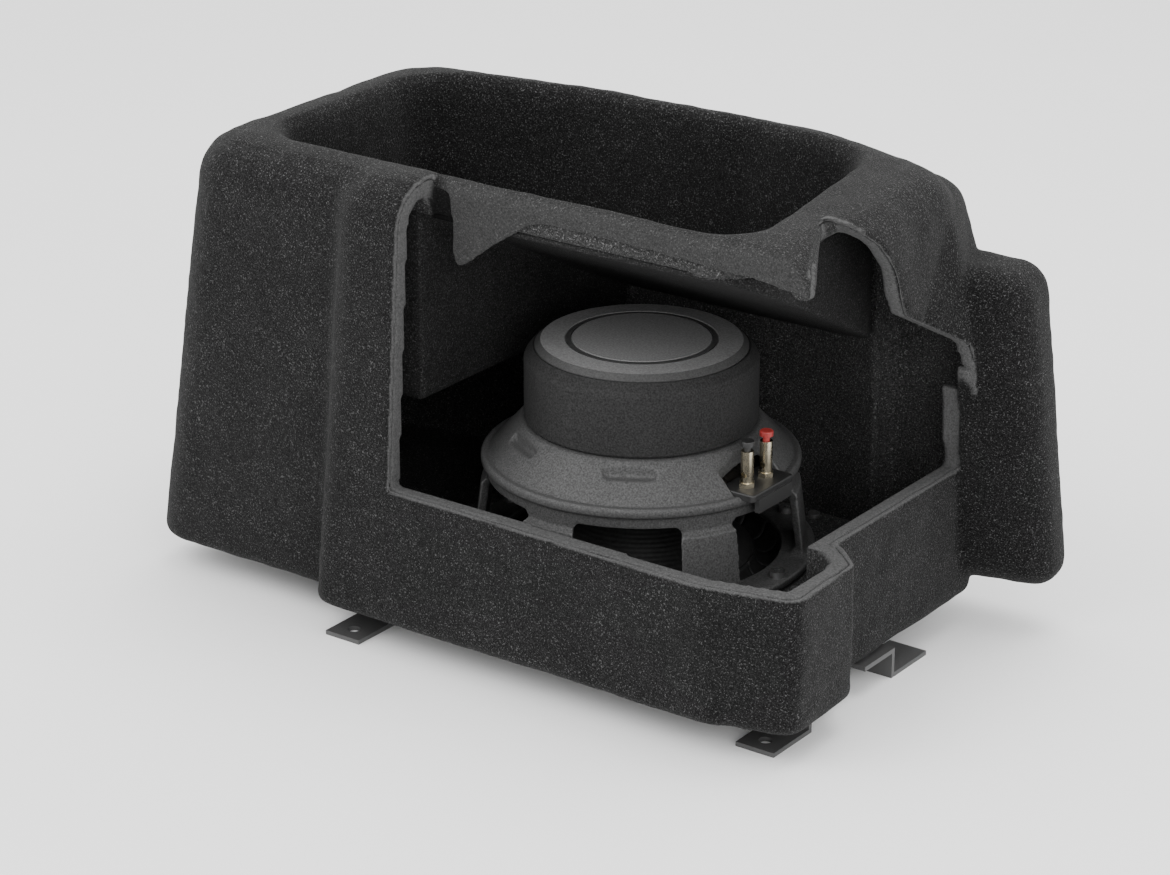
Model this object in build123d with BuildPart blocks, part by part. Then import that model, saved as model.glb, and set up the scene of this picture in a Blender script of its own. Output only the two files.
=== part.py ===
from build123d import *
from math import atan2, cos, hypot, radians, sin, tan
import os

# Powered car subwoofer: a carpeted console-shaped enclosure with a storage bin in its top,
# a down-firing woofer, a cutaway window in its front and right side that shows the woofer,
# and a plate amplifier in its left end. Millimetres, +Z up, the front faces -Y.
# The finished origin is on the floor, under the middle of the whole object.

os.makedirs("parts", exist_ok=True)

# the drawing's zero is beside the woofer; this moves each finished piece to the object's own origin
TO_ORIGIN = Location((15.2, 0, 0))

# ---- driving dimensions -------------------------------------------------------------------
BOX_BOTTOM = 20.0         # underside of the carpet above the floor, set by the feet
BOX_TOP = 303.0           # crest of the rim
CARPET = 3.5              # carpet thickness
WALL = 9.5                # moulded shell thickness
LINING = CARPET + WALL    # outer carpet surface to the inside of the shell
RIM_ROLL = 28.0           # radius of the outer top edge
BOTTOM_ROLL = 8.0         # radius of the bottom edge
SHOULDER_ROLL = 16.0      # radius where the right wall steps in under the rim
BULGE_ROLL = 18.0         # radius of the rear right bulge's top and bottom edges
ROLL_STEPS = 4            # facets across each rolled edge

WINDOW_LEFT = -68.0       # left edge of the cutaway window
WINDOW_SILL = 110.0       # height of the ledge below the window
RIM_FRONT = -96.5         # front face of the carpet that hangs from the near rim
RIM_FRONT_ROLL = 12.0     # radius over the near rim inside the window
HEM_TOP = 291.0           # the hanging hem starts at this height

DRIVER = (31.0, -10.0)    # axis of the woofer
BOARD_THICK = 18.0
GASKET_THICK = 2.0
SPOKES = 6                # basket legs, with a window and a screw between each two
SCREW_CIRCLE = 104.0      # radius of the woofer's screw circle
COIL_GAP_IN = 31.0        # pole radius
COIL_IN = 31.6            # coil former, inner radius
MAGNET_RADIUS = 74.0      # over the rubber boot
FLANGE_RADIUS = 111.5
FLOOR_OPENING = 104.0     # radius of the hole in the box under the cone

BRACKET_THICK = 3.0
BRACKET_WIDTH = 27.0
BRACKET_PLATE = 42.0
FOOT_HOLE_RADIUS = 4.25

AMP_WIDTH = 140.0         # plate amplifier, along Y
AMP_HEIGHT = 110.0        # up the slope of the left end
AMP_PLATE = 3.0
AMP_DEPTH = 48.0          # chassis behind the plate
KNOB_RADIUS = 6.5
JACK_RADIUS = 4.3

FLOOR_TOP = BOX_BOTTOM + LINING
BOARD_TOP = FLOOR_TOP + BOARD_THICK
FLANGE_BOTTOM = BOARD_TOP + GASKET_THICK

# ---- outlines: corners as (x, y, radius), counter-clockwise from the left front ------------
BODY_FOOTPRINT = [
    (-289, -127, 28), (-136, -127, 10), (-124, -150, 14), (200, -150, 30),
    (196, 116, 40), (71, 151, 120), (-110, 146, 120), (-289, 112, 50),
]
BODY_TOP = [
    (-254, -120, 42), (-120, -120, 22), (-105, -128, 34), (212, -128, 40),
    (190, 114, 48), (71, 150, 120), (-110, 143, 120), (-254, 116, 50),
]
CORNER_FOOTPRINT = [
    (-60, -142, 1), (166, -149, 60), (229, -134, 12), (226, -67, 3), (205, -49, 6), (-60, -49, 1),
]
SIDE_FOOTPRINT = [(110, -100, 24), (205, -100, 24), (205, 128, 24), (110, 128, 24)]
SIDE_TOP = [(110, -100, 24), (196, -100, 24), (196, 124, 24), (110, 124, 24)]
BULGE_FOOTPRINT = [(110, 96, 24), (204, 98, 20), (262, 113, 20), (258, 150, 17), (110, 149, 24)]
BULGE_TOP = [(110, 88, 24), (204, 89, 20), (238, 100, 22), (234, 149, 19), (110, 148, 24)]
SHOULDER_FOOTPRINT = [(110, 40, 24), (203, 44, 24), (224, 94, 24), (214, 147, 24), (110, 146, 24)]
SHOULDER_TOP = [(110, 40, 24), (184, 44, 24), (190, 88, 24), (172, 138, 24), (110, 137, 24)]
BIN_OPENING = [
    (-212, -80, 32), (153, -80, 24), (122, 104, 42), (20, 117, 100), (-110, 111, 100), (-212, 84, 38),
]
# the window's outline in the right wall, as (y, z): up its rear edge, over the top, down to the near rim
SIDE_WINDOW = [
    (-100, WINDOW_SILL), (100, WINDOW_SILL), (96, 168), (88, 198), (57, 217), (34, 229), (25, 244),
    (17, 263), (-3, 285), (-16, 296), (-25, 304), (-30, 304), (-30, 277), (-100, 277),
]
CORNER_TOP_Z = 150.0
SIDE_TOP_Z = 209.0
BULGE_LOW_Z = 32.0
BULGE_TOP_Z = 243.0
SHOULDER_LOW_Z = 150.0
SHOULDER_TOP_Z = 290.0

BIN_SLOPE = 26.3                    # degrees, bin floor over the woofer
BIN_FRONT_FLOOR = 285.0             # height of that floor at the near wall
BIN_DEEP_RIGHT = -92.0              # the deep compartment is left of this
BIN_DEEP_FLOOR = 165.0
BIN_SPLIT = 278.0                   # the tub hangs from the shell at this height


def blend_corners(low, high, part_way):
    """Corners part of the way from one outline to another."""
    return [tuple(a + (b - a) * part_way for a, b in zip(p, q)) for p, q in zip(low, high)]


def inset_corners(corners, distance):
    """The outline moved inwards by distance, with its radii to match."""
    count = len(corners)
    moved = []
    for i in range(count):
        (x0, y0, _), (x1, y1, r), (x2, y2, _) = corners[i - 1], corners[i], corners[(i + 1) % count]
        ax, ay = (x1 - x0) / hypot(x1 - x0, y1 - y0), (y1 - y0) / hypot(x1 - x0, y1 - y0)
        bx, by = (x2 - x1) / hypot(x2 - x1, y2 - y1), (y2 - y1) / hypot(x2 - x1, y2 - y1)
        step = distance / (1 + ax * bx + ay * by)
        convex = ax * by - ay * bx > 0
        radius = r - distance if convex else r + distance
        moved.append((x1 + step * (-ay - by), y1 + step * (ax + bx), max(radius, 1.0)))
    return moved


def outline_face(corners, plane):
    """A closed outline with rounded corners, as a sketch on the plane."""
    with BuildSketch(plane) as sketch:
        with BuildLine():
            FilletPolyline(*[(x, y) for x, y, _ in corners], radius=[r for _, _, r in corners], close=True)
        make_face()
    return sketch.sketch


def rolled_block(low, high, low_z, high_z, depth, bottom_roll, top_roll):
    """Loft between two outlines with rounded bottom and top edges, every face moved in by depth."""
    low_roll = max(bottom_roll - depth, 0)
    high_roll = max(top_roll - depth, 0)
    sections = []
    for step in range(ROLL_STEPS + 1):
        angle = radians(90 * step / ROLL_STEPS)
        sections.append((low_z + depth + low_roll * (1 - sin(angle)), low_roll * (1 - cos(angle))))
    sections = sections[::-1] if low_roll > 0 else [(low_z + depth, 0)]
    if high_roll > 0:
        for step in range(ROLL_STEPS + 1):
            angle = radians(90 * step / ROLL_STEPS)
            sections.append((high_z - depth - high_roll * (1 - sin(angle)), high_roll * (1 - cos(angle))))
    else:
        sections.append((high_z - depth, 0))
    faces = []
    for z, shrink in sections:
        corners = blend_corners(low, high, (z - low_z) / (high_z - low_z))
        faces.append(outline_face(inset_corners(corners, depth + shrink), Plane.XY.offset(z)))
    with BuildPart() as block:
        loft(faces, ruled=True)
    return block.part


def body_solid(depth):
    """The whole outer form, with every face moved inwards by depth."""
    blocks = [
        (BODY_FOOTPRINT, BODY_TOP, BOX_BOTTOM, BOX_TOP, BOTTOM_ROLL, RIM_ROLL),
        (CORNER_FOOTPRINT, CORNER_FOOTPRINT, BOX_BOTTOM, CORNER_TOP_Z, BOTTOM_ROLL, 0),
        (SIDE_FOOTPRINT, SIDE_TOP, BOX_BOTTOM, SIDE_TOP_Z, BOTTOM_ROLL, SHOULDER_ROLL),
        (BULGE_FOOTPRINT, BULGE_TOP, BULGE_LOW_Z, BULGE_TOP_Z, BULGE_ROLL, BULGE_ROLL),
        (SHOULDER_FOOTPRINT, SHOULDER_TOP, SHOULDER_LOW_Z, SHOULDER_TOP_Z, 0, SHOULDER_ROLL),
    ]
    with BuildPart() as body:
        for low, high, low_z, high_z, bottom_roll, top_roll in blocks:
            add(rolled_block(low, high, low_z, high_z, depth, bottom_roll, top_roll))
    return body.part


def bin_solid(out):
    """The space in the storage bin, with every face moved outwards by out."""
    corners = inset_corners(BIN_OPENING, -out)
    flare_z = BOX_TOP - 15 - out
    slope_drop = out / cos(radians(BIN_SLOPE))
    near_y = -80.0
    far_y = 200.0
    near_z = BIN_FRONT_FLOOR - slope_drop
    far_z = near_z - (far_y - near_y) * tan(radians(BIN_SLOPE))
    with BuildPart() as floor:
        with BuildSketch(Plane.YZ.offset(BIN_DEEP_RIGHT - 1)):
            with BuildLine():
                Polyline((-130, near_z + 50 * tan(radians(BIN_SLOPE))), (far_y, far_z), (far_y, 400),
                         (-130, 400), close=True)
            make_face()
        extrude(amount=400)
        with BuildSketch(Plane.XY.offset(BIN_DEEP_FLOOR - out)):
            with Locations((BIN_DEEP_RIGHT + out - 150, 0)):
                Rectangle(300, 400)
        extrude(amount=250)
    with BuildPart() as tub:
        with BuildSketch(Plane.XY.offset(100)):
            add(outline_face(corners, Plane.XY))
        extrude(amount=flare_z - 100 + 0.01)
        add(floor.part, mode=Mode.INTERSECT)
        loft([
            outline_face(corners, Plane.XY.offset(flare_z)),
            outline_face(inset_corners(corners, -2), Plane.XY.offset(flare_z + 9)),
            outline_face(inset_corners(corners, -7), Plane.XY.offset(flare_z + 15)),
        ], ruled=True)
        extrude(outline_face(inset_corners(corners, -7), Plane.XY.offset(flare_z + 15)), amount=20)
    return tub.part


def cut_window(solid, depth):
    """Cut the display window out of the front and the right side, and roll the near rim's edge."""
    front = RIM_FRONT + depth
    with BuildPart() as opened:
        add(solid)
        with BuildSketch(Plane.XY.offset(WINDOW_SILL)):
            with BuildLine():
                Polyline((WINDOW_LEFT, -200), (WINDOW_LEFT, front), (208, front), (172, -30),
                         (196, -14), (300, -8), (300, -200), close=True)
            make_face()
        extrude(amount=250, mode=Mode.SUBTRACT)
        with BuildSketch(Plane.YZ.offset(172)):
            with BuildLine():
                Polyline(*SIDE_WINDOW, close=True)
            make_face()
        extrude(amount=60, mode=Mode.SUBTRACT)
        rim_edge = (
            opened.edges()
            .filter_by(Axis.X)
            .filter_by_position(Axis.Y, front - 0.1, front + 0.1)
            .filter_by_position(Axis.Z, BOX_TOP - depth - 0.1, BOX_TOP - depth + 0.1)
        )
        fillet(rim_edge, radius=RIM_FRONT_ROLL - depth)
    return opened.part


# ---- enclosure ------------------------------------------------------------------------------
outer_form = cut_window(body_solid(0), 0)
shell_form = cut_window(body_solid(CARPET), CARPET)
bin_space = bin_solid(0)
bin_lined = bin_solid(CARPET)
cavity = body_solid(LINING) - bin_solid(LINING)

# the left end leans in towards the top; the plate amplifier lies on its slope
end_lean = atan2(BODY_TOP[0][0] - BODY_FOOTPRINT[0][0], BOX_TOP - BOX_BOTTOM)
amp_z = 95.0
amp_y = -12.0
amp_x = BODY_FOOTPRINT[0][0] + CARPET + (amp_z - BOX_BOTTOM) * tan(end_lean)
amp_plane = Plane(origin=(amp_x, amp_y, amp_z), x_dir=(0, -1, 0), z_dir=(-cos(end_lean), 0, sin(end_lean)))
AMP_HOLE = (AMP_WIDTH - 14, AMP_HEIGHT - 14)
GASKET = 1.0
PLATE_FACE = GASKET + AMP_PLATE

# feet: (name, left edge, free end of the plate, direction from the free end to the web, hole offset)
FEET = [
    ("mounting_foot_front_left", -118, -147, 1, 12),
    ("mounting_foot_front_right", 181, -124, 1, 12),
    ("mounting_foot_rear_left", -118, 52, -1, 24),
    ("mounting_foot_rear_right", 181, 52, -1, 24),
]
FLANGE_LENGTH = 32.0
BOLT_RADIUS = 2.5
BOLT_OFFSETS = (6, 16)      # from the left edge of each foot


def foot_bolt_centres():
    """Places of the two bolts that hold each foot's upper flange to the box."""
    centres = []
    for _, left, free_end, side, _ in FEET:
        y = free_end + side * (BRACKET_PLATE + FLANGE_LENGTH / 2)
        centres += [(left + offset, y) for offset in BOLT_OFFSETS]
    return centres


board_screw_centres = [(x, y) for x in (-86, -32, 94, 150) for y in (-115, 97)] + [(-86, -10), (150, -10)]

with BuildPart() as bin_zone:
    with BuildSketch(Plane.XY.offset(100)):
        add(outline_face(inset_corners(BIN_OPENING, -LINING), Plane.XY))
    extrude(amount=BIN_SPLIT - 100)

with BuildPart() as whole_shell:
    add(shell_form)
    add(bin_lined, mode=Mode.SUBTRACT)
    add(cavity, mode=Mode.SUBTRACT)

with BuildPart() as storage_bin:
    add(whole_shell.part)
    add(bin_zone.part, mode=Mode.INTERSECT)
storage_bin.part.label = "storage_bin"
export_step(storage_bin.part.moved(TO_ORIGIN), "parts/storage_bin.step")

with BuildPart() as enclosure_shell:
    add(whole_shell.part)
    add(bin_zone.part, mode=Mode.SUBTRACT)
    with BuildSketch(Plane.XY.offset(BOX_BOTTOM)):
        with Locations(DRIVER):
            Circle(FLOOR_OPENING)
    extrude(amount=LINING + 1, mode=Mode.SUBTRACT)
    with BuildSketch(Plane.XY.offset(BOX_BOTTOM)):
        with Locations(*foot_bolt_centres()):
            Circle(BOLT_RADIUS)
        with Locations(*board_screw_centres):
            Circle(1.8)
    extrude(amount=LINING + 1, mode=Mode.SUBTRACT)
    with BuildSketch(amp_plane.offset(-20)):
        RectangleRounded(AMP_HOLE[0], AMP_HOLE[1], 5)
    extrude(amount=30, mode=Mode.SUBTRACT)
enclosure_shell.part.label = "enclosure_shell"
export_step(enclosure_shell.part.moved(TO_ORIGIN), "parts/enclosure_shell.step")


# the carpet below its hem inside the window, which hangs a little way down from the near rim and has
# one pointed tongue beside the window's left edge
HEM_EDGE = [
    (WINDOW_LEFT - 1, WINDOW_SILL), (WINDOW_LEFT - 1, HEM_TOP + 1), (-53.5, HEM_TOP + 1), (-51.5, 274),
    (-50.7, 256), (-49, 250.5), (-46, 248), (-41, 250.5), (-16, 269), (8, 285), (20, 287.5), (48, 288),
    (84, 287), (129.5, 285.5), (173.5, 283), (203.5, 279.5), (209, 281), (212, 284), (260, 284),
    (260, WINDOW_SILL),
]
with BuildPart() as below_hem:
    with BuildSketch(Plane.XZ.offset(-RIM_FRONT - CARPET)):
        with BuildLine():
            Polyline(*HEM_EDGE, close=True)
        make_face()
    extrude(amount=CARPET + 0.01)

with BuildPart() as carpet_core:
    add(shell_form)
    add(bin_lined, mode=Mode.SUBTRACT)

with BuildPart() as carpet_skin:
    add(outer_form)
    add(bin_space, mode=Mode.SUBTRACT)
    add(carpet_core.part, mode=Mode.SUBTRACT)

with BuildPart() as lining_zone:
    with BuildSketch(Plane.XY.offset(100)):
        add(outline_face(inset_corners(BIN_OPENING, -CARPET - 1), Plane.XY))
    extrude(amount=BIN_SPLIT - 100)

with BuildPart() as bin_carpet:
    add(carpet_skin.part)
    add(lining_zone.part, mode=Mode.INTERSECT)
bin_carpet.part.label = "bin_carpet"
export_step(bin_carpet.part.moved(TO_ORIGIN), "parts/bin_carpet.step")

with BuildPart() as hem_zone:
    with BuildSketch(Plane.XZ.offset(-RIM_FRONT - CARPET)):
        with Locations(((WINDOW_LEFT + 230) / 2, (WINDOW_SILL + HEM_TOP) / 2)):
            Rectangle(230 - WINDOW_LEFT, HEM_TOP - WINDOW_SILL)
    extrude(amount=CARPET + 0.01)

with BuildPart() as window_hem:
    add(carpet_skin.part)
    add(hem_zone.part, mode=Mode.INTERSECT)
    add(below_hem.part, mode=Mode.SUBTRACT)
window_hem.part.label = "window_hem"
export_step(window_hem.part.moved(TO_ORIGIN), "parts/window_hem.step")

with BuildPart() as carpet_cover:
    add(carpet_skin.part)
    add(lining_zone.part, mode=Mode.SUBTRACT)
    add(hem_zone.part, mode=Mode.SUBTRACT)
    with BuildSketch(Plane.XZ.offset(-RIM_FRONT - CARPET)):
        with BuildLine():
            Polyline((WINDOW_LEFT - 1, HEM_TOP - 1), (-53.4, HEM_TOP - 1), (-55, 296.5), (-59, 299.5),
                     (WINDOW_LEFT - 1, 299.5), close=True)
        make_face()
    extrude(amount=CARPET + 0.01, mode=Mode.SUBTRACT)
    with BuildSketch(Plane.XY.offset(BOX_BOTTOM)):
        with Locations(DRIVER):
            Circle(FLOOR_OPENING)
        with Locations(*foot_bolt_centres()):
            Circle(BOLT_RADIUS)
    extrude(amount=CARPET + 1, mode=Mode.SUBTRACT)
    with BuildSketch(amp_plane):
        RectangleRounded(AMP_WIDTH + 2, AMP_HEIGHT + 2, 7)
    extrude(amount=20, both=True, mode=Mode.SUBTRACT)
carpet_cover.part.label = "carpet_cover"
export_step(carpet_cover.part.moved(TO_ORIGIN), "parts/carpet_cover.step")

with BuildPart() as baffle_board:
    with BuildSketch(Plane.XY.offset(FLOOR_TOP)):
        with Locations((32, -9)):
            RectangleRounded(262, 228, 14)
        with Locations(DRIVER):
            Circle(96, mode=Mode.SUBTRACT)
        with Locations(*board_screw_centres):
            Circle(2.1, mode=Mode.SUBTRACT)
        with Locations(DRIVER):
            with PolarLocations(SCREW_CIRCLE, SPOKES):
                Circle(2.6, mode=Mode.SUBTRACT)
    extrude(amount=BOARD_THICK)
baffle_board.part.label = "baffle_board"
export_step(baffle_board.part.moved(TO_ORIGIN), "parts/baffle_board.step")

with BuildPart() as board_screws:
    with BuildSketch(Plane.XY.offset(FLOOR_TOP - 8)):
        with Locations(*board_screw_centres):
            Circle(1.8)
    extrude(amount=BOARD_THICK + 8)
    with BuildSketch(Plane.XY.offset(BOARD_TOP)):
        with Locations(*board_screw_centres):
            Circle(4)
    extrude(amount=2.6)
board_screws.part.label = "board_screws"
export_step(board_screws.part.moved(TO_ORIGIN), "parts/board_screws.step")


# ---- feet -----------------------------------------------------------------------------------
def mounting_foot(left, free_end, side, hole_offset):
    """A Z-bent steel strip: floor plate, web and upper flange under the box."""
    web = free_end + side * BRACKET_PLATE
    flange_end = web + side * FLANGE_LENGTH
    top = BOX_BOTTOM
    outline = [
        (free_end, 0), (web, 0), (web, top - BRACKET_THICK), (flange_end, top - BRACKET_THICK),
        (flange_end, top), (web - side * BRACKET_THICK, top), (web - side * BRACKET_THICK, BRACKET_THICK),
        (free_end, BRACKET_THICK),
    ]
    with BuildPart() as foot:
        with BuildSketch(Plane.YZ.offset(left)):
            with BuildLine():
                Polyline(*outline, close=True)
            make_face()
        extrude(amount=BRACKET_WIDTH)
        with BuildSketch(Plane.XY):
            with Locations((left + BRACKET_WIDTH / 2, free_end + side * hole_offset)):
                Circle(FOOT_HOLE_RADIUS)
        extrude(amount=BRACKET_THICK, mode=Mode.SUBTRACT)
        with BuildSketch(Plane.XY.offset(top - BRACKET_THICK)):
            middle = web + side * FLANGE_LENGTH / 2
            with Locations(*[(left + offset, middle) for offset in BOLT_OFFSETS]):
                Circle(BOLT_RADIUS)
        extrude(amount=BRACKET_THICK, mode=Mode.SUBTRACT)
    return foot.part


for foot_name, left, free_end, side, hole_offset in FEET:
    foot = mounting_foot(left, free_end, side, hole_offset)
    foot.label = foot_name
    export_step(foot.moved(TO_ORIGIN), f"parts/{foot_name}.step")

with BuildPart() as foot_bolts:
    with BuildSketch(Plane.XY.offset(BOX_BOTTOM - BRACKET_THICK)):
        with Locations(*foot_bolt_centres()):
            Circle(BOLT_RADIUS)
    extrude(amount=BRACKET_THICK + LINING)
    with BuildSketch(Plane.XY.offset(BOX_BOTTOM - BRACKET_THICK)):
        with Locations(*foot_bolt_centres()):
            RegularPolygon(4.6, 6)
    extrude(amount=-4)
foot_bolts.part.label = "foot_bolts"
export_step(foot_bolts.part.moved(TO_ORIGIN), "parts/foot_bolts.step")


# ---- woofer ---------------------------------------------------------------------------------
driver_plane = Plane(origin=(DRIVER[0], DRIVER[1], 0), x_dir=(1, 0, 0), z_dir=(0, -1, 0))
driver_axis = Axis((DRIVER[0], DRIVER[1], 0), (0, 0, 1))
PLATEAU = 119.0           # height of the basket's spider ledge
MAGNET_BOTTOM = 141.0
TOP_PLATE = 10.0
MAGNET_THICK = 25.0
YOKE_PLATE = 10.0
CONE_RADIUS = 68.0
SURROUND_RADIUS = 90.0
SPIDER_Z = 112.0


def ring(inner, outer, low, high):
    """A plain ring round the woofer's axis."""
    with BuildPart() as part:
        with BuildSketch(Plane.XY.offset(low)):
            with Locations(DRIVER):
                Circle(outer)
                Circle(inner, mode=Mode.SUBTRACT)
        extrude(amount=high - low)
    return part.part


def turned(points):
    """A solid of revolution round the woofer's axis from (radius, height) corners."""
    with BuildPart() as part:
        with BuildSketch(driver_plane):
            with BuildLine():
                Polyline(*points, close=True)
            make_face()
        revolve(axis=driver_axis)
    return part.part


def radial_plane(angle, radius, z):
    """A plane facing outwards at an angle round the woofer, x to the side and y up."""
    a = radians(angle)
    origin = (DRIVER[0] + radius * cos(a), DRIVER[1] + radius * sin(a), z)
    return Plane(origin=origin, x_dir=(-sin(a), cos(a), 0), z_dir=(cos(a), sin(a), 0))


basket_section = [
    (SURROUND_RADIUS, 53), (FLANGE_RADIUS, 53), (FLANGE_RADIUS, 57.5), (106.5, 60), (101.5, 99), (98, 101),
    (98, 112), (101.5, 113.5), (101.5, 117.5), (100, 119), (97.5, 119), (96.5, 118), (95.5, 119.5),
    (79, 138), (75.5, 141), (36, 141), (36, 136.5), (71, 136.5), (91, 115.5), (91, 112), (84, 112),
    (84, 109), (92, 106), (96, 96), (101, 63), (97, 58), (SURROUND_RADIUS, 58),
]
TERMINAL_AT = (DRIVER[0] + 92, DRIVER[1] - 7)
BLOCK_BOTTOM = 117.2

with BuildPart() as driver_basket:
    add(turned(basket_section))
    for spoke in range(SPOKES):
        with BuildSketch(radial_plane(60 * spoke, 60, 0)):
            with BuildLine():
                FilletPolyline((-35, 57.5), (35, 57.5), (33, 105), (-33, 105), radius=5, close=True)
            make_face()
        extrude(amount=60, mode=Mode.SUBTRACT)
        with BuildSketch(radial_plane(60 * spoke, 78.2, 0)):
            with BuildLine():
                FilletPolyline((-21, 150), (-16, 131), (16, 131), (21, 150), radius=3, close=True)
            make_face()
        extrude(amount=11.8, mode=Mode.SUBTRACT)
    with BuildSketch(Plane.XY.offset(BLOCK_BOTTOM - 0.2)):
        with Locations(TERMINAL_AT):
            Rectangle(26.4, 46.4)
    extrude(amount=40, mode=Mode.SUBTRACT)
    with BuildSketch(Plane.XY.offset(50)):
        with Locations(DRIVER):
            with PolarLocations(SCREW_CIRCLE, SPOKES):
                Circle(2.6)
    extrude(amount=12, mode=Mode.SUBTRACT)
driver_basket.part.label = "driver_basket"
export_step(driver_basket.part.moved(TO_ORIGIN), "parts/driver_basket.step")

with BuildPart() as driver_gasket:
    with BuildSketch(Plane.XY.offset(BOARD_TOP)):
        with Locations(DRIVER):
            Circle(FLANGE_RADIUS - 0.5)
            Circle(96.2, mode=Mode.SUBTRACT)
            with PolarLocations(SCREW_CIRCLE, SPOKES):
                Circle(2.6, mode=Mode.SUBTRACT)
    extrude(amount=GASKET_THICK)
driver_gasket.part.label = "driver_gasket"
export_step(driver_gasket.part.moved(TO_ORIGIN), "parts/driver_gasket.step")

with BuildPart() as driver_screws:
    with BuildSketch(Plane.XY.offset(57.5)):
        with Locations(DRIVER):
            with PolarLocations(SCREW_CIRCLE, SPOKES):
                Circle(4.6)
    extrude(amount=4)
    with BuildSketch(Plane.XY.offset(61.5)):
        with Locations(DRIVER):
            with PolarLocations(SCREW_CIRCLE, SPOKES):
                RegularPolygon(2.4, 6)
    extrude(amount=-2.4, mode=Mode.SUBTRACT)
    with BuildSketch(Plane.XY.offset(FLOOR_TOP + 2)):
        with Locations(DRIVER):
            with PolarLocations(SCREW_CIRCLE, SPOKES):
                Circle(2.5)
    extrude(amount=57.5 - FLOOR_TOP - 2)
driver_screws.part.label = "driver_screws"
export_step(driver_screws.part.moved(TO_ORIGIN), "parts/driver_screws.step")

cone = turned([(33.4, 92), (35, 92), (37, 84), (CONE_RADIUS + 4, 53.2), (CONE_RADIUS + 4, 51.6),
               (CONE_RADIUS - 1, 51.6), (33.4, 82)])
cone.label = "cone"
export_step(cone.moved(TO_ORIGIN), "parts/cone.step")

# the dust cap is a shallow dome whose edge lies on the cone
DOME_RADIUS = 52.0
DOME_RISE = 10.0
dome_lower = []
for step in range(9):
    radius = DOME_RADIUS * step / 8
    dome_lower.append((radius, 53.5 + DOME_RISE * (radius / DOME_RADIUS) ** 2))
dome_upper = [(r, z + 1.4) for r, z in reversed(dome_lower)]
dust_cap = turned(dome_lower + dome_upper)
dust_cap.label = "dust_cap"
export_step(dust_cap.moved(TO_ORIGIN), "parts/dust_cap.step")

ROLL_CENTRE = (CONE_RADIUS + 4 + SURROUND_RADIUS) / 2
ROLL_RADIUS = (SURROUND_RADIUS - CONE_RADIUS - 4) / 2
roll_in = ROLL_CENTRE - ROLL_RADIUS
roll_out = ROLL_CENTRE + ROLL_RADIUS
with BuildPart() as surround:
    with BuildSketch(driver_plane):
        with BuildLine():
            Polyline((CONE_RADIUS, 51.4), (CONE_RADIUS, 50), (roll_in, 50))
            ThreePointArc((roll_in, 50), (ROLL_CENTRE, 40), (roll_out, 51.2))
            Polyline((roll_out, 51.2), (95.8, 51.2), (95.8, 53), (roll_out - 1, 53))
            ThreePointArc((roll_out - 1, 53), (ROLL_CENTRE, 41.6), (roll_in + 1.2, 51.4))
            Line((roll_in + 1.2, 51.4), (CONE_RADIUS, 51.4))
        make_face()
    revolve(axis=driver_axis)
surround.part.label = "surround"
export_step(surround.part.moved(TO_ORIGIN), "parts/surround.step")

# the corrugated spider: waves between the coil former and the basket's ledge
SPIDER_WAVES = 5
wave_in, wave_out = 38.0, 84.0
wave_points = []
for step in range(SPIDER_WAVES * 2 + 1):
    radius = wave_in + (wave_out - wave_in) * step / (SPIDER_WAVES * 2)
    wave_points.append((radius, SPIDER_Z + (2.0 if step % 2 else 0.0)))
spider_lower = [(32.4, SPIDER_Z)] + wave_points + [(90.5, SPIDER_Z)]
spider_upper = [(r, z + 0.9) for r, z in reversed(spider_lower)]
spider = turned(spider_lower + spider_upper)
spider.label = "spider"
export_step(spider.moved(TO_ORIGIN), "parts/spider.step")

coil_former = ring(COIL_IN, 32.1, 82, 162)
coil_former.label = "coil_former"
export_step(coil_former.moved(TO_ORIGIN), "parts/coil_former.step")

coil_winding = ring(32.1, 33.4, 131, 161)
coil_winding.label = "coil_winding"
export_step(coil_winding.moved(TO_ORIGIN), "parts/coil_winding.step")

former_collar = ring(32.1, 33.4, 82, 94)
former_collar.label = "former_collar"
export_step(former_collar.moved(TO_ORIGIN), "parts/former_collar.step")

plate_top = MAGNET_BOTTOM + TOP_PLATE
magnet_top = plate_top + MAGNET_THICK
yoke_top = magnet_top + YOKE_PLATE
top_plate = ring(34.4, 70, MAGNET_BOTTOM, plate_top)
top_plate.label = "top_plate"
export_step(top_plate.moved(TO_ORIGIN), "parts/top_plate.step")

magnet_ring = ring(44, 69, plate_top, magnet_top)
magnet_ring.label = "magnet_ring"
export_step(magnet_ring.moved(TO_ORIGIN), "parts/magnet_ring.step")

yoke = turned([
    (10, MAGNET_BOTTOM - 1), (COIL_GAP_IN, MAGNET_BOTTOM - 1), (COIL_GAP_IN, magnet_top),
    (66, magnet_top), (66, yoke_top), (10, yoke_top),
])
yoke.label = "yoke"
export_step(yoke.moved(TO_ORIGIN), "parts/yoke.step")

magnet_boot = turned([
    (70.6, 142), (MAGNET_RADIUS - 0.6, 142), (MAGNET_RADIUS, 143), (MAGNET_RADIUS, 181),
    (MAGNET_RADIUS - 1.2, 184), (68.6, 189), (67.4, 189), (67.4, yoke_top), (70.6, yoke_top),
])
magnet_boot.label = "magnet_boot"
export_step(magnet_boot.moved(TO_ORIGIN), "parts/magnet_boot.step")

with BuildPart() as magnet_cap:
    add(turned([(0, yoke_top), (67.2, yoke_top), (67.2, 189.6), (63.5, 193), (48.5, 193.6), (47.5, 192.6),
                (44.5, 192.6), (43.5, 193.8), (0, 194)]))
magnet_cap.part.label = "magnet_cap"
export_step(magnet_cap.part.moved(TO_ORIGIN), "parts/magnet_cap.step")

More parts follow.
